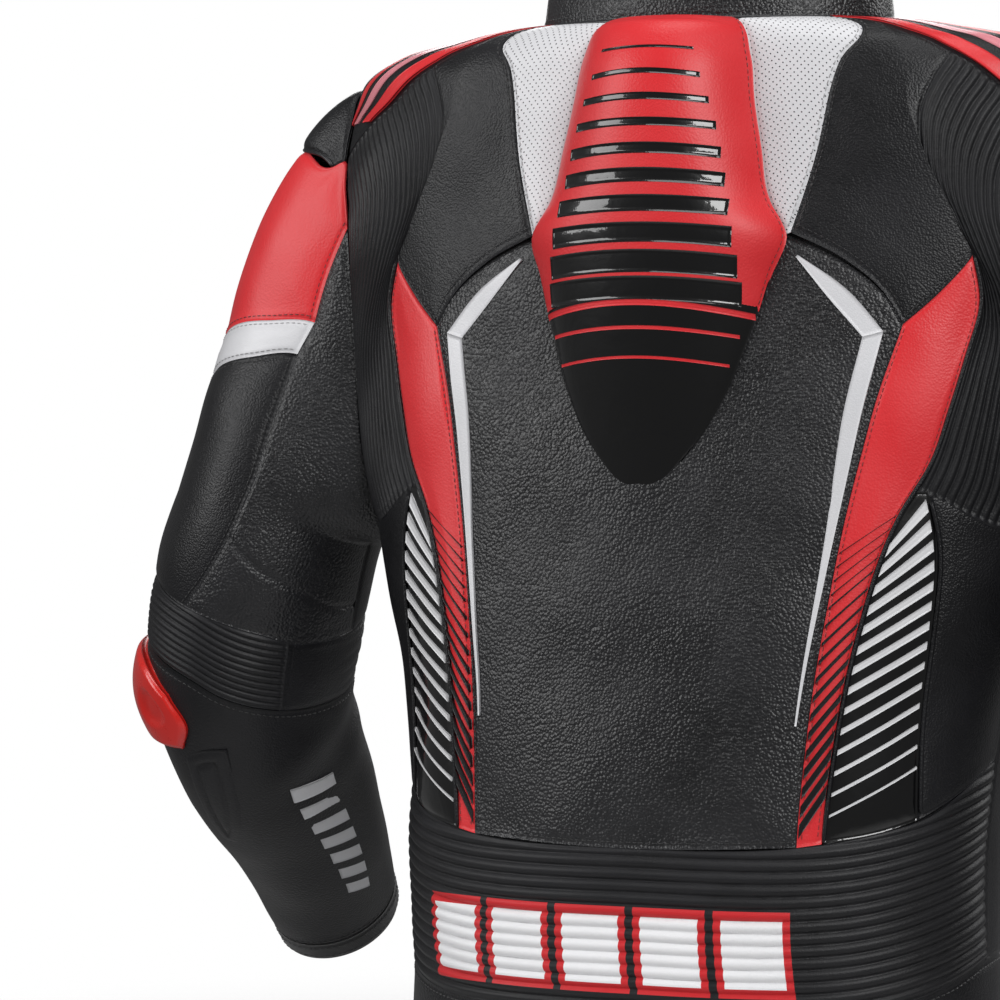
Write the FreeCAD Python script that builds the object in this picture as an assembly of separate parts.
"""Leather riding jacket with a speed hump, stretch panels and elbow sliders, in millimetres.

Frame: the origin is the middle of the collar seam at the back of the neck. +Z is up, the wearer faces -Y and
the wearer's left is +X. Everything off the centre line is made for the left side and mirrored for the right.

Two charts place every panel.
Torso chart (a, v): a is the angle round the body in degrees, 0 at the spine, 90 at the side, 180 at the front zip,
and v is the distance in mm along the side line from the neck seam, negative downwards.
Sleeve chart (p, s): p is the angle round the arm, 0 on top, 90 at the back, 180 under the arm, 270 in front,
and s runs from 0 at the armhole seam to SLEEVE_END at the cuff.
"""
import FreeCAD, Part
import math
import os

Vector = FreeCAD.Vector

# Driving dimensions
LEATHER = 1.4           # outer leather, with its backing
LINER = 1.0             # mesh lining
LINER_SINK = 2.8        # how far the outside of the lining lies below the outer leather's inside
SEAM = 0.35             # each panel stops this far short of its seam line
HUMP_HEIGHT = 36.0      # top of the speed hump above the back
HUMP_RIM = 4.5          # height of the hump's moulded edge
COLLAR_HEIGHT = 40.0
ZIP_TOP = Vector(0, -209.7, -116)
ZIP_BOTTOM = Vector(0, -167.5, -603)
ARM_TOP = Vector(253, -92, -148)
ELBOW = Vector(313, -70, -368)
WRIST = Vector(337, -235, -538)
ELBOW_TANGENT = 80.0    # the arm starts to curve this far before the elbow point
RING_START = 130.0      # the sleeve is a round tube from here down
FIRST_RING_Z = -286.0

# Body rings from the hem up to the neck seam: v, height at the back, extra drop of the front, half width,
# y of the spine, y of the front, y of the widest point, fullness (2 is an ellipse, more is squarer).
BODY_RINGS = [
    (-730, -620, 0, 176, 56, -166, -50, 2.3),
    (-650, -540, 0, 170, 64, -173, -43, 2.3),
    (-570, -460, 0, 169, 66, -180, -41, 2.3),
    (-504, -394, 0, 176, 60, -186, -48, 2.3),
    (-406, -300, 0, 204, 48, -194, -70, 2.25),
    (-333, -230, 0, 229, 38, -200, -86, 2.2),
    (-262, -160, 14, 243, 27, -205, -95, 2.2),
    (-207, -105, 36, 246, 18, -207, -92, 2.2),
    (-172, -70, 56, 244, 13, -208, -88, 2.2),
    (-146, -45, 70, 236, 10, -204, -84, 2.15),
    (-126, -28, 78, 229, 7, -195, -80, 2.1),
    (-101, -16, 80, 209, 5, -183, -76, 2.05),
    (-68, -8, 76, 177, 3, -170, -72, 2.0),
    (-30, -2, 68, 137, 1, -156, -67, 2.0),
    (0, 0, 60, 103, 0, -146, -62, 2.0),
]

# Round part of the sleeve: s, half sizes towards the outside, the body, the back and the front of the arm.
SLEEVE_RINGS = [
    (130, 60, 56, 68, 64),
    (190, 66, 57, 68, 62),
    (232, 67, 53, 68, 56),
    (280, 52, 52, 66, 50),
    (340, 39, 49, 54, 47),
    (444, 33, 38, 40, 38),
]

# The way the sleeve leaves the armhole over the shoulder, at the back and front, and under the arm.
LEAVE_TOP = Vector(0.88, 0, -0.47)
LEAVE_SIDE = Vector(0.62, 0, -0.78)
LEAVE_UNDER = Vector(0.35, 0, -0.94)

# Seam lines on the body, as (a, v) points.
HUMP_EDGE = [(18, -2), (15, -60), (12, -120), (12, -175), (13.5, -205), (16, -224), (14.5, -245), (12.5, -275),
             (10, -310), (6.5, -340), (2.5, -362)]
WHITE_EDGE = [(50, -2), (42, -50), (33, -90), (25, -124), (21, -160), (17.8, -205), (16.6, -222)]
YOKE_EDGE = [(52, -2), (48, -45), (45, -90), (46, -118), (50, -136), (58, -152), (69.5, -170)]
STRETCH_EDGE = [(44, -235), (38, -203), (35, -180), (35.5, -160), (39, -138), (45.5, -114)]
BLADE_EDGE = [(16.6, -225), (24, -238), (31, -258), (34, -273)]
BACK_EDGE = [(34, -273), (32, -310), (31, -355), (31, -410), (31.5, -460), (32, -510), (32, -566)]
FLASH_EDGE = [(44, -235), (46, -260), (45, -290), (44, -320), (43, -350), (40, -380), (38.5, -410), (38, -450),
              (38, -500), (37.5, -564)]
SLASH_EDGE = [(44.5, -366), (50, -400), (54, -440), (58, -490), (62, -552)]
WAIST_TOP = [(0, -569), (32, -566), (38, -564), (52, -558), (66, -550), (80, -535), (92, -522)]
WAIST_FOOT = [(0, -660), (45, -657), (72, -645), (92, -634), (130, -640), (178.6, -652)]
HEM_V = -714
CHEST_EDGE = [(117.2, -330), (140, -345), (160, -352), (178.6, -354)]


def hermite_rows(rows, x):
    """The row at knot x, where each row is (knot, value, value...) and the curve through the rows is smooth."""
    i = 0
    while i < len(rows) - 2 and x > rows[i + 1][0]:
        i += 1
    p, q = rows[i], rows[i + 1]
    step = q[0] - p[0]
    t = (x - p[0]) / step
    before = rows[max(i - 1, 0)]
    after = rows[min(i + 2, len(rows) - 1)]
    out = []
    for k in range(1, len(p)):
        slope = (q[k] - p[k]) / step
        m0 = m1 = slope
        if i > 0:
            back = p[0] - before[0]
            m0 = ((p[k] - before[k]) / back * step + slope * back) / (back + step)
        if i < len(rows) - 2:
            ahead = after[0] - q[0]
            m1 = (slope * ahead + (after[k] - q[k]) / ahead * step) / (ahead + step)
        h = (2 * t**3 - 3 * t**2 + 1) * p[k] + (t**3 - 2 * t**2 + t) * step * m0
        out.append(h + (3 * t**2 - 2 * t**3) * q[k] + (t**3 - t**2) * step * m1)
    return out


def power(x, p):
    return math.copysign(abs(x) ** p, x)


def body(a, v):
    """Point of the body surface: a ring of the table at v, a superellipse with its own back and front depth."""
    z, drop, half, y_back, y_front, y_side, full = hermite_rows(BODY_RINGS, v)
    s, c = math.sin(math.radians(a)), math.cos(math.radians(a))
    depth = y_back - y_side if c >= 0 else y_side - y_front
    x = half * power(s, 2 / full)
    y = y_side + depth * power(c, 2 / full)
    return Vector(x, y, z - drop * ((1 - c) / 2) ** 4)


def armhole(p):
    """The armhole seam in the body chart, where p is the sleeve's angle."""
    p = math.radians(p)
    return 92 - 28 * math.sin(p), -258 + 140 * math.cos(p)


UPPER = (ELBOW - ARM_TOP).normalize()
FORE = (WRIST - ELBOW).normalize()
OUTWARD = FORE.cross(UPPER).normalize()
BEND = UPPER.getAngle(FORE)
BEND_RADIUS = ELBOW_TANGENT / math.tan(BEND / 2)
FIRST_RING = ARM_TOP + UPPER * ((FIRST_RING_Z - ARM_TOP.z) / UPPER.z)
BEND_START = RING_START + (ELBOW - FIRST_RING).Length - ELBOW_TANGENT
BEND_END = BEND_START + BEND_RADIUS * BEND
SLEEVE_END = BEND_END + (WRIST - ELBOW).Length - ELBOW_TANGENT


def arm_axis(s):
    """Centre of the sleeve at s and its direction: straight, a round bend at the elbow, straight."""
    inward = (FORE - UPPER * UPPER.dot(FORE)).normalize()
    if s < BEND_START:
        return FIRST_RING + UPPER * (s - RING_START), UPPER
    if s > BEND_END:
        return WRIST - FORE * (SLEEVE_END - s), FORE
    t = (s - BEND_START) / BEND_RADIUS
    start = ELBOW - UPPER * ELBOW_TANGENT
    centre = start + UPPER * (BEND_RADIUS * math.sin(t)) + inward * (BEND_RADIUS * (1 - math.cos(t)))
    return centre, UPPER * math.cos(t) + inward * math.sin(t)


def arm_ring(p, s):
    centre, along = arm_axis(s)
    backward = OUTWARD.cross(along)
    out, medial, back, front = hermite_rows(SLEEVE_RINGS, s)
    c, b = math.cos(math.radians(p)), math.sin(math.radians(p))
    return centre + OUTWARD * (c * (out if c >= 0 else medial)) + backward * (b * (back if b >= 0 else front))


def sleeve(p, s):
    """Point of the sleeve surface: a tube round the arm, joined to the armhole by a Hermite curve above it."""
    if s >= RING_START:
        return arm_ring(p, s)
    a, v = armhole(p)
    p0, p1 = body(a, v), arm_ring(p, RING_START)
    c = math.cos(math.radians(p))
    leave = LEAVE_SIDE + ((LEAVE_TOP - LEAVE_SIDE) * c if c >= 0 else (LEAVE_UNDER - LEAVE_SIDE) * -c)
    length = (p1 - p0).Length
    t = s / RING_START
    curve = p0 * (2 * t**3 - 3 * t**2 + 1) + leave.normalize() * (length * (t**3 - 2 * t**2 + t))
    return curve + p1 * (3 * t**2 - 2 * t**3) + UPPER * (length * (t**3 - t**2))


def collar(a, h):
    """Point of the collar at height h: the neck seam carried up, leaning in by a twelfth and a little forwards."""
    foot = body(a, 0)
    lean = 1 - 0.05 * h / COLLAR_HEIGHT
    return Vector(foot.x * lean, -62 + (foot.y + 62) * lean - 0.1 * h, foot.z + h)


def along(points, weight):
    """A smooth curve through chart points as a function of 0..1, evenly spaced when a counts weight mm a degree."""
    rows = [(0,) + tuple(points[0])]
    for p, q in zip(points, points[1:]):
        step = math.hypot((q[0] - p[0]) * weight, q[1] - p[1])
        rows.append((rows[-1][0] + step,) + tuple(q))
    total = rows[-1][0]
    return lambda t: hermite_rows(rows, t * total)


def dense(points, count=16, weight=4.0):
    """Points close together on the smooth curve through a seam line, so both panels beside it get the same edge."""
    curve = along(points, weight)
    return [tuple(curve(i / (count - 1))) for i in range(count)]


def normal(surface, a, b):
    da = surface(a + 0.05, b) - surface(a - 0.05, b)
    db = surface(a, b + 0.2) - surface(a, b - 0.2)
    return db.cross(da).normalize()


def sheet(surface, bottom, right, top, left, lift=0.0, thick=LEATHER, nu=9, nv=9, weight=4.0, gap=SEAM):
    """A closed solid sheet over four chart curves. Bottom and top run left to right, left and right run upwards.
    Its inside lies lift above the surface (a number or a function of the chart) and it is thick outwards."""
    curves = [along(side, weight) for side in (bottom, right, top, left)]

    def chart(u, w):
        b, r, t, l = curves[0](u), curves[1](w), curves[2](u), curves[3](w)
        c00, c10, c11, c01 = curves[0](0), curves[0](1), curves[2](1), curves[2](0)
        return [(1 - w) * b[k] + w * t[k] + (1 - u) * l[k] + u * r[k] - (1 - u) * (1 - w) * c00[k]
                - u * (1 - w) * c10[k] - u * w * c11[k] - (1 - u) * w * c01[k] for k in (0, 1)]

    def length(fixed, across):
        points = [surface(*(chart(t / 6, fixed) if across else chart(fixed, t / 6))) for t in range(7)]
        return sum((q - p).Length for p, q in zip(points, points[1:]))

    us, ws = [i / (nu - 1) for i in range(nu)], [j / (nv - 1) for j in range(nv)]
    inset_u = [min(gap / length(w, True), 0.4) for w in ws]
    inset_w = [min(gap / length(u, False), 0.4) for u in us]
    inner, outer = [], []
    for i, u in enumerate(us):
        row_in, row_out = [], []
        for j, w in enumerate(ws):
            a, b = chart(inset_u[j] + u * (1 - 2 * inset_u[j]), inset_w[i] + w * (1 - 2 * inset_w[i]))
            point, out = surface(a, b), normal(surface, a, b)
            base = lift(a, b) if callable(lift) else lift
            depth = thick(a, b) if callable(thick) else thick
            row_in.append(point + out * base)
            row_out.append(point + out * (base + depth))
        inner.append(row_in)
        outer.append(row_out)
    return shell_between(inner, outer)


def shell_between(inner, outer):
    """The closed solid between two smooth faces through grids of points."""
    faces = []
    for grid in (inner, outer):
        face = Part.BSplineSurface()
        face.interpolate(grid)
        faces.append(face.toShape())
    sides = [Part.makeRuledSurface(p, q) for p, q in zip(faces[0].Edges, faces[1].Edges)]
    shape = Part.Shell(faces + sides)
    shape.sewShape()
    solid = Part.Solid(shape)
    if solid.Volume < 0:
        solid.reverse()
    return solid


def mirrored(shape):
    return shape.mirror(Vector(), Vector(1, 0, 0))


def save(name, shape):
    if not shape.isValid():
        print("INVALID", name, shape.Volume)
    shape.exportStep("parts/" + name + ".step")


def save_pair(name, shape):
    save(name + "_left", shape)
    save(name + "_right", mirrored(shape))


def flip(points):
    return [(-a, v) for a, v in reversed(points)]


def cut_at(points, v):
    """The part of a seam line above height v, ending on it."""
    kept = []
    for p, q in zip(points, points[1:]):
        kept.append(p)
        if (p[1] - v) * (q[1] - v) < 0:
            t = (v - p[1]) / (q[1] - p[1])
            kept.append((p[0] + t * (q[0] - p[0]), v))
            return kept
    return points


# Hump
def hump_height(a, v):
    """Height of the hump's top over the back: a moulded rim, then a rounded ridge that is fullest two thirds down."""
    half = along_edge(HUMP_EDGE, v)
    across = max(0.0, 1 - (a / half) ** 2)
    t = min(max(-v / 366, 0), 1)
    ridge = math.sin(math.pi * t**0.85) ** 1.1 if 0 < t < 1 else 0.0
    return HUMP_RIM + (HUMP_HEIGHT - HUMP_RIM) * across**0.75 * ridge


def along_edge(points, v):
    rows = sorted((q[1], q[0]) for q in points)
    return max(hermite_rows(rows, min(max(v, rows[0][0]), rows[-1][0]))[0], 2.0)


def hump():
    """The speed hump: a red and black cover sewn over a moulded foam core."""
    left, right = [(-a, v) for a, v in reversed(HUMP_EDGE)], list(reversed(HUMP_EDGE))
    foot = [left[0], (0, -366), right[0]]
    top = [left[-1], (0, 0), right[-1]]
    shape = (foot, right, top, left)
    save("hump_cover", sheet(body, *shape, lift=hump_height, nu=13, nv=21))
    save("hump_foam", sheet(body, *shape, lift=1.8, thick=lambda a, v: hump_height(a, v) - 2.2, nu=13, nv=21,
                            gap=1.2))


# Back of the body
def back_panels():
    """The centre back panel and the panels either side of the hump, down to the waist."""
    low_left = flip(WAIST_TOP[:2])[:-1]
    foot = low_left + WAIST_TOP[:2]
    top = flip(BLADE_EDGE) + BLADE_EDGE
    side = list(reversed(BACK_EDGE))
    save("back_panel", sheet(body, foot, side, top, [(-a, v) for a, v in side], nu=19, nv=13))
    hump_side = cut_at(HUMP_EDGE, -223)
    neck = sheet(body, [hump_side[-1], WHITE_EDGE[-1]], list(reversed(WHITE_EDGE)),
                 [hump_side[0], (35, -1), WHITE_EDGE[0]], list(reversed(hump_side)), nu=7, nv=15)
    save_pair("neck_panel", neck)
    yoke_side = [(a - 0.6, v) for a, v in dense(YOKE_EDGE[:4]) if -92 < v < -15]
    blade_top = [WHITE_EDGE[0]] + yoke_side + [STRETCH_EDGE[-1]]
    blade = sheet(body, BLADE_EDGE, [BLADE_EDGE[-1], (39, -256)] + STRETCH_EDGE, blade_top,
                  list(reversed(WHITE_EDGE)), nu=11, nv=15, gap=0.9)
    save_pair("shoulder_blade", blade)
    flash_foot = [BACK_EDGE[-1], FLASH_EDGE[-1]]
    flash = sheet(body, flash_foot, list(reversed(FLASH_EDGE)), [BACK_EDGE[0], (39, -256), FLASH_EDGE[0]],
                  list(reversed(BACK_EDGE)), nu=7, nv=17)
    save_pair("side_flash", flash)


def side_panels():
    """The stretch panel behind the shoulder, the slashed panel beside the flash and the flank under the arm."""
    arm = [armhole(p) for p in (160, 140, 120, 100, 80, 60, 52)]
    above = cut_at(FLASH_EDGE, -366)
    inner = list(reversed(above))[:-1] + STRETCH_EDGE
    seam = dense([SLASH_EDGE[0], (60, -385), arm[0]])
    stretch = sheet(body, [above[-1]] + seam, arm, [STRETCH_EDGE[-1], (50, -136), (58, -152), arm[-1]],
                    inner, nu=9, nv=17)
    save_pair("shoulder_stretch", stretch)
    below = [above[-1]] + [p for p in FLASH_EDGE if p[1] < -366]
    slash = sheet(body, [FLASH_EDGE[-1], (50, -559), SLASH_EDGE[-1]], list(reversed(SLASH_EDGE)),
                  [above[-1], SLASH_EDGE[0]], list(reversed(below)), nu=7, nv=11)
    save_pair("side_slash", slash)
    flank_foot = [SLASH_EDGE[-1], (80, -535), (92, -522)]
    flank_top = seam + [armhole(180)]
    flank = sheet(body, flank_foot, [(92, -522), (92, -460), armhole(180)], flank_top, list(reversed(SLASH_EDGE)),
                  nu=9, nv=9)
    save_pair("flank", flank)


def chevron():
    """A white leather stripe laid on the centre back panel: a short arm and a long arm that taper to points."""
    elbow_in, elbow_out = (28, -280), (31.6, -277)
    tip, tail = (18.5, -240), (29.5, -500)
    upper = sheet(body, [elbow_in, elbow_out], [elbow_out, (25.6, -257), (18.9, -240)], [tip, (18.9, -240)],
                  [elbow_in, (23.6, -261), tip], lift=1.7, thick=0.8, nu=4, nv=7, gap=0.0)
    lower = sheet(body, [(28.9, -500), tail], [tail, (29.7, -400), (29.5, -315), elbow_out], [elbow_in, elbow_out],
                  [(28.9, -500), (28.2, -400), (27.2, -315), elbow_in], lift=1.7, thick=0.8, nu=4, nv=11, gap=0.0)
    return upper.fuse(lower).removeSplitter()


# Waist and hem
BACK_FOOT, FRONT_FOOT = dense(WAIST_FOOT[:4]), dense(WAIST_FOOT[3:])


def waist():
    """The ribbed stretch panel across the lower back and the leather band that closes the hem."""
    top = flip(WAIST_TOP)[:-1] + WAIST_TOP
    foot = flip(BACK_FOOT)[:-1] + BACK_FOOT
    save("waist_stretch", sheet(body, foot, [foot[-1], (92, -578), top[-1]], top, [foot[0], (-92, -578), top[0]],
                                nu=25, nv=7))
    hem_top = BACK_FOOT + FRONT_FOOT[1:]
    hem_top = flip(hem_top)[:-1] + hem_top
    hem_foot = [(a, HEM_V) for a in range(-170, 171, 20)]
    hem_foot = [(-178.6, HEM_V)] + hem_foot + [(178.6, HEM_V)]
    save("hem_band", sheet(body, hem_foot, [hem_foot[-1], hem_top[-1]], hem_top, [hem_foot[0], hem_top[0]],
                           lift=-0.4, thick=2.4, nu=41, nv=5))


# Shoulder and front
def front_panels():
    """The yoke over the shoulder, the chest panel and the lower front panel."""
    yoke_arm = [armhole(p) for p in (52, 35, 18, 0)]
    crest = dense([(92, -2), (92, -60), yoke_arm[-1]])
    yoke = sheet(body, [YOKE_EDGE[0], (70, -2), (92, -2)], crest,
                 [YOKE_EDGE[-1]] + yoke_arm[1:], YOKE_EDGE, nu=7, nv=11)
    save_pair("shoulder_yoke", yoke)
    arm = [armhole(p) for p in (244, 260, 280, 300, 320, 340, 360)]
    seam = dense([arm[0]] + CHEST_EDGE[1:])
    chest = sheet(body, seam, [CHEST_EDGE[-1], (178.6, -180), (178.6, -2)],
                  [(92, -2), (120, -2), (150, -2), (178.6, -2)], arm[:-1] + list(reversed(crest)), lift=0.7, nu=15,
                  nv=23, gap=1.25)
    save_pair("chest", chest)
    side = [(92, -634), (92, -520), armhole(180)]
    low_arm = [armhole(p) for p in (180, 200, 220, 244)]
    top = low_arm + seam[1:]
    lower = sheet(body, FRONT_FOOT, [FRONT_FOOT[-1], (178.6, -500), CHEST_EDGE[-1]], top, side, nu=21, nv=13, gap=1.0)
    save_pair("front_panel", lower)


def lining():
    """The mesh lining inside the body, open down the front and at both armholes."""
    top = [(a, -4) for a in range(-174, 175, 12)]
    foot = [(a, HEM_V + 30) for a in range(-174, 175, 12)]
    side = [HEM_V + 30, -560, -400, -262, -172, -101, -50, -4]
    shape = sheet(body, foot, [(174, v) for v in side], top, [(-174, v) for v in side],
                  lift=-LINER_SINK - LINER, thick=LINER, nu=61, nv=31, gap=0)
    rim = [body(*armhole(p)) for p in range(0, 360, 20)]
    middle = Vector(0, -88, -155)
    rim = [middle + (Vector(0, q.y, q.z) - middle) * 1.04 for q in rim]
    curve = Part.BSplineCurve()
    curve.interpolate(rim, True)
    hole = Part.Face(Part.Wire(curve.toShape())).extrude(Vector(300, 0, 0))
    hole.translate(Vector(60, 0, 0))
    save("body_lining", shape.cut(hole).cut(mirrored(hole)))


# Collar
def neck():
    """The stand-up collar, the tab that closes it over the zip and the hanger loop sewn inside it."""
    foot = [(a, 1.2) for a in range(-172, 173, 8)]
    top = [(a, COLLAR_HEIGHT * (1 - 0.35 * abs(a / 172) ** 3)) for a in range(-172, 173, 8)]
    save("collar", sheet(collar, foot, [foot[-1], top[-1]], top, [foot[0], top[0]], lift=-1.0, thick=3.0, nu=45,
                         nv=7, weight=1.5, gap=0))
    tab = Part.makeBox(46, 1.8, 18, Vector(-23, 0, 0))
    tab = tab.makeFillet(5, [e for e in tab.Edges if abs(e.tangentAt(e.FirstParameter).y) > 0.9])
    front = collar(180, 12)
    tab.translate(Vector(0, front.y - 4.6, front.z - 8))
    save("collar_tab", tab)
    loop = Part.Wire([Part.makeLine((-14, 0, 0), (-14, 0, -7)),
                      Part.Arc(Vector(-14, 0, -7), Vector(0, 0, -17), Vector(14, 0, -7)).toShape(),
                      Part.makeLine((14, 0, -7), (14, 0, 0))])
    band = loop.makeOffset2D(1.6, openResult=True, join=0)
    face = Part.Face(Part.Wire(closed_band(loop, band)))
    hanger = face.extrude(Vector(0, -1.2, 0))
    hanger.translate(Vector(0, -5.4, 12))
    save("hanger_loop", hanger)


def closed_band(inner, outer):
    """The closed outline between an open wire and its offset."""
    ends_in = [inner.OrderedVertexes[0].Point, inner.OrderedVertexes[-1].Point]
    ends_out = [outer.OrderedVertexes[0].Point, outer.OrderedVertexes[-1].Point]
    if (ends_in[0] - ends_out[0]).Length > (ends_in[0] - ends_out[1]).Length:
        ends_out.reverse()
    caps = [Part.makeLine(p, q) for p, q in zip(ends_in, ends_out)]
    return Part.__sortEdges__(inner.Edges + outer.Edges + caps)


# Front zip
def zip_frame(shape):
    """Turns a shape built with the zip along -Z and its face towards -Y to the slope of the front."""
    run = ZIP_BOTTOM - ZIP_TOP
    shape.rotate(Vector(), Vector(1, 0, 0), math.degrees(math.atan2(run.y, -run.z)))
    shape.translate(ZIP_TOP)
    return shape


def front_zip():
    """Two tapes with their rows of teeth, and a slider with its puller."""
    length = (ZIP_BOTTOM - ZIP_TOP).Length
    tape = Part.makeBox(11.2, 0.8, length, Vector(0.8, 0.5, -length))
    teeth = Part.makeBox(2.7, 3.2, length - 4, Vector(0.8, -1.2, -length + 2))
    tape = zip_frame(tape.fuse(teeth).removeSplitter())
    save("zip_tapes", Part.makeCompound([tape, mirrored(tape)]))
    front = Part.makeBox(11, 1.6, 15, Vector(-5.5, -3.4, -17))
    back = Part.makeBox(11, 1.2, 15, Vector(-5.5, 2.4, -17))
    stem = Part.makeBox(0.9, 5.0, 15, Vector(-0.45, -2.6, -17))
    bail = Part.makeBox(3, 5.0, 9, Vector(-1.5, -8.4, -14)).cut(Part.makeBox(3, 3.4, 5.4, Vector(-1.5, -6.8, -12.2)))
    save("zip_slider", zip_frame(front.fuse([back, stem, bail]).removeSplitter()))
    pull = Part.makeBox(7, 1.4, 34, Vector(-3.5, -5.8, -43))
    pull = pull.makeFillet(3.2, [e for e in pull.Edges if abs(e.tangentAt(e.FirstParameter).y) > 0.9])
    slot = Part.makeBox(3.8, 3, 4.4, Vector(-1.9, -6.6, -15.8))
    save("zip_puller", zip_frame(pull.cut(slot)))


# Sleeves
CUP_EDGE = [(-50, 8), (-25, 25), (0, 30), (25, 25), (50, 8)]
BAND_TOP = [(-83, 30), (-66, 56), (-40, 78), (0, 90), (40, 78), (66, 56), (83, 30)]
BAND_FOOT = [(-85, 45), (-68, 70), (-42, 90), (0, 101), (42, 90), (68, 70), (85, 45)]
UNDER_EDGE = [(71, 2), (77, 18), (83, 30), (85, 45), (95, 78), (103, 105), (101, 141)]
STRETCH_TOP = [(38, 173), (68, 176), (97, 178), (116, 180), (136, 183), (146, 186)]
STRETCH_FOOT = [(38, 206), (68, 206), (90, 208), (110, 213), (130, 218), (146, 222)]
FORE_TOP = [(-89.6, 236), (-60, 232), (-20, 222), (10, 214), (38, 206.5), (68, 206.5), (90, 208.5), (110, 213.5),
            (130, 218.5), (146, 222.5), (190, 232), (230, 236), (269.6, 236)]


def upper_sleeve():
    """Shoulder cup, red panel, white band, outer, underarm and front panels of the upper arm."""
    arm = [(-52, 2), (-25, 2), (0, 2), (25, 2), (52, 2)]
    dome = lambda p, s: 0.2 + 7.5 * max(0, 1 - (p / 52) ** 2) ** 0.6 * math.sin(math.pi * min(max(s / 34, 0), 1)) ** 0.5
    save_pair("shoulder_cup", sheet(sleeve, CUP_EDGE, [CUP_EDGE[-1], arm[-1]], arm, [CUP_EDGE[0], arm[0]],
                                    thick=lambda p, s: 1.5 + dome(p, s), nu=11, nv=7, weight=1.2))
    back = [BAND_TOP[-1], (77, 18), (71, 2)]
    red_top = [(-71, 2), (-60, 2), (-52, 2)] + CUP_EDGE + [(52, 2), (60, 2), (71, 2)]
    red = sheet(sleeve, BAND_TOP, back, red_top, [(-p, s) for p, s in back], nu=15, nv=9, weight=1.2)
    save_pair("upper_arm_red", red)
    band = sheet(sleeve, BAND_FOOT, [BAND_FOOT[-1], BAND_TOP[-1]], BAND_TOP, [BAND_FOOT[0], BAND_TOP[0]], nu=15,
                 nv=4, weight=1.2)
    save_pair("arm_band", band)
    outer_foot = [(-95, 176), (-60, 175), (-20, 173), (10, 172), (38, 173), (60, 175), (81, 177)]
    outer_back = [(81, 177), (92, 161), (101, 141), (103, 105), (95, 78), (85, 45)]
    outer = sheet(sleeve, outer_foot, outer_back, BAND_FOOT, [(-95, 176), (-97, 141), (-97, 105), (-93, 78), (-85, 45)],
                  nu=15, nv=11, weight=1.2)
    save_pair("outer_arm", outer)
    under_foot = [(81, 177), (97, 178), (116, 180), (136, 183), (146, 186), (190, 186)]
    under = sheet(sleeve, under_foot, [(190, 186), (190, 120), (190, 60), (190, 2)],
                  [(71, 2), (100, 2), (130, 2), (160, 2), (190, 2)], [(81, 177), (92, 161)] + list(reversed(UNDER_EDGE)),
                  nu=15, nv=19, weight=1.2)
    save_pair("underarm", under)
    front_back = [(190, 186), (190, 120), (190, 60), (190, 2)]
    front_side = [(265, 176), (263, 141), (263, 105), (267, 78), (275, 45), (277, 30), (283, 18), (289, 2)]
    front = sheet(sleeve, [(190, 186), (230, 180), (265, 176)], front_side,
                  [(190, 2), (220, 2), (250, 2), (289, 2)], front_back, nu=15, nv=17, weight=1.2, gap=1.3)
    save_pair("front_arm", front)


def elbow():
    """Stretch ribs behind the elbow, a soft gusset in front of it and the plastic slider on its outside."""
    rib = sheet(sleeve, STRETCH_FOOT, [STRETCH_FOOT[-1], STRETCH_TOP[-1]], STRETCH_TOP,
                [STRETCH_FOOT[0], STRETCH_TOP[0]], nu=11, nv=7, weight=1.2)
    save_pair("elbow_stretch", rib)
    low = [(146, 222.4), (190, 231.6), (230, 235.6), (270, 235.6), (300, 231.6), (340, 221.6), (370, 213.6), (398, 206.1)]
    high = [(146, 186), (190, 186), (230, 180), (265, 176), (300, 175), (340, 173), (370, 172), (398, 173)]
    gusset = sheet(sleeve, low, [low[-1], high[-1]], high, [low[0], high[0]], nu=17, nv=6, weight=1.2)
    save_pair("elbow_gusset", gusset)
    foot = [(8, 243), (30, 250), (58, 249), (84, 243)]
    top = [(14, 214), (34, 211), (56, 212), (76, 219)]
    right, left = [foot[-1], (88, 232), top[-1]], [foot[0], (6, 228), top[0]]
    crown = lambda p, s: 4 + 6.5 * math.cos(math.radians(1.9 * (p - 46))) ** 2 * math.sin(math.pi * (s - 206) / 50)
    save_pair("elbow_slider", sheet(sleeve, foot, right, top, left, lift=1.8, thick=crown, nu=9, nv=9, weight=1.2))


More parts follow.
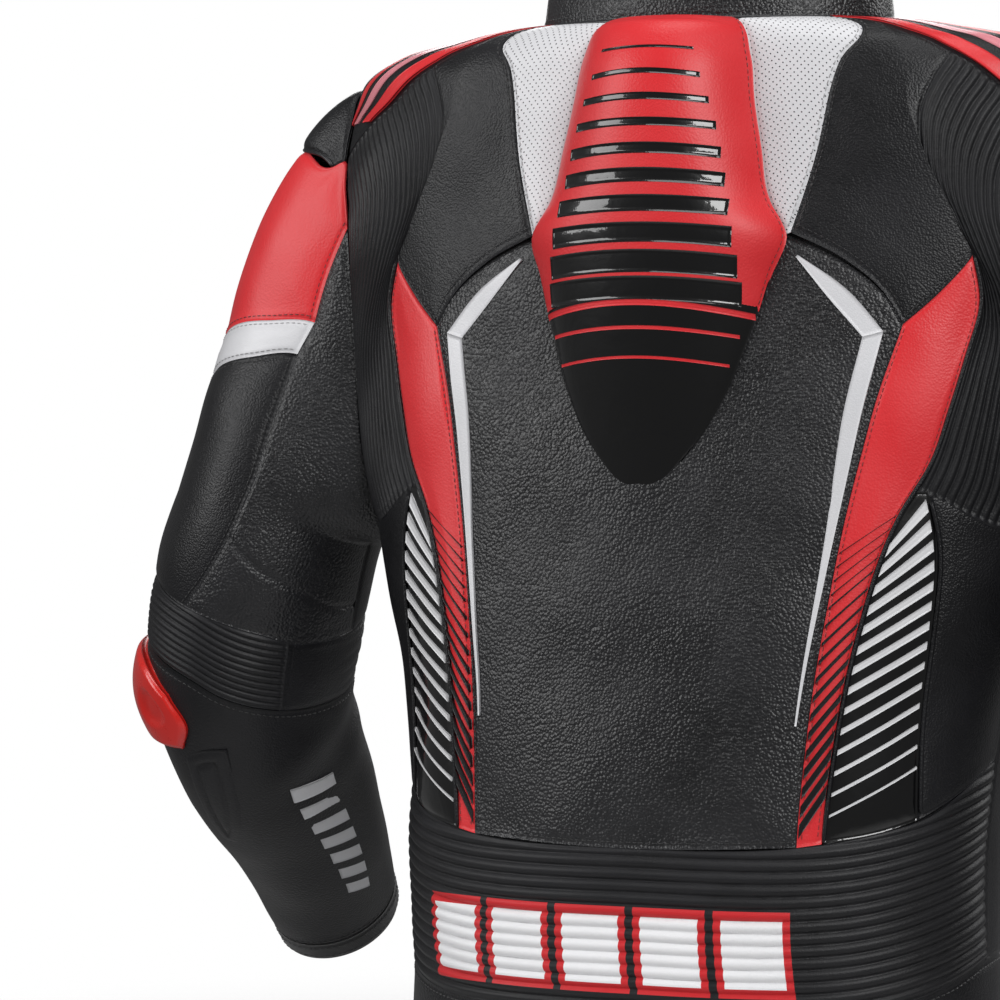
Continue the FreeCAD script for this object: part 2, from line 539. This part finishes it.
def forearm():
    """The forearm tube, its padded panel, the cuff binding and the short zip that opens the cuff."""
    open_s = 352
    left = [(-84.5, SLEEVE_END - 16), (-84.5, 390), (-85, open_s + 6), (-89.6, open_s - 8), (-89.6, 290), (-89.6, 236)]
    right = [(p if p > 0 else -p + 180, s) for p, s in left]
    foot = [(p, SLEEVE_END - 16) for p in [-84.5] + list(range(-75, 256, 15)) + [264.5]]
    save_pair("forearm", sheet(sleeve, foot, right, FORE_TOP, left, nu=25, nv=13, weight=1.2, gap=0.0))
    pad_foot, pad_top = [(88, 305), (102, 306)], [(83, 247), (98, 241), (113, 239)]
    pad = sheet(sleeve, pad_foot, [pad_foot[-1], (116, 270), pad_top[-1]], pad_top,
                [pad_foot[0], (85, 276), pad_top[0]], lift=1.8, thick=2.6, nu=6, nv=8, weight=1.2)
    save_pair("forearm_pad", pad)
    cuff_foot = [(p, SLEEVE_END) for p in [-83.5] + list(range(-75, 256, 15)) + [263.5]]
    cuff_top = [(p, SLEEVE_END - 15.4) for p, s in cuff_foot]
    cuff = sheet(sleeve, cuff_foot, [cuff_foot[-1], cuff_top[-1]], cuff_top, [cuff_foot[0], cuff_top[0]], lift=-1.0,
                 thick=3.4, nu=25, nv=4, weight=1.2, gap=0)
    save_pair("cuff", cuff)


def cuff_zip():
    """A zip along the front of the forearm: one closed tape with its teeth, and a slider on top of it."""
    start, end = sleeve(270, 356), sleeve(270, SLEEVE_END - 1)
    run = end - start
    out = normal(sleeve, 270, 400)
    out = (out - run * (out.dot(run) / run.Length**2)).normalize()
    side = out.cross(run).normalize()
    turn = FreeCAD.Matrix(side.x, out.x, run.x / run.Length, start.x, side.y, out.y, run.y / run.Length, start.y,
                          side.z, out.z, run.z / run.Length, start.z, 0, 0, 0, 1)
    tape = Part.makeBox(11, 0.8, run.Length, Vector(-5.5, -2.6, 0))
    teeth = Part.makeBox(3.6, 2.4, run.Length - 3, Vector(-1.8, -2.0, 1.5))
    tape = tape.fuse(teeth).removeSplitter()
    slider = Part.makeBox(6.4, 2.2, 10, Vector(-3.2, 1.8, run.Length - 14))
    pull = Part.makeBox(5, 1.2, 22, Vector(-2.5, 4.6, run.Length - 32))
    slider = slider.fuse([pull, Part.makeBox(2, 2, 4, Vector(-1, 3.4, run.Length - 14))]).removeSplitter()
    save_pair("cuff_zip", tape.transformGeometry(turn))
    save_pair("cuff_slider", slider.transformGeometry(turn))


os.makedirs("parts", exist_ok=True)
hump()
back_panels()
side_panels()
save_pair("chevron", chevron())
waist()
front_panels()
lining()
neck()
front_zip()
upper_sleeve()
elbow()
forearm()
cuff_zip()
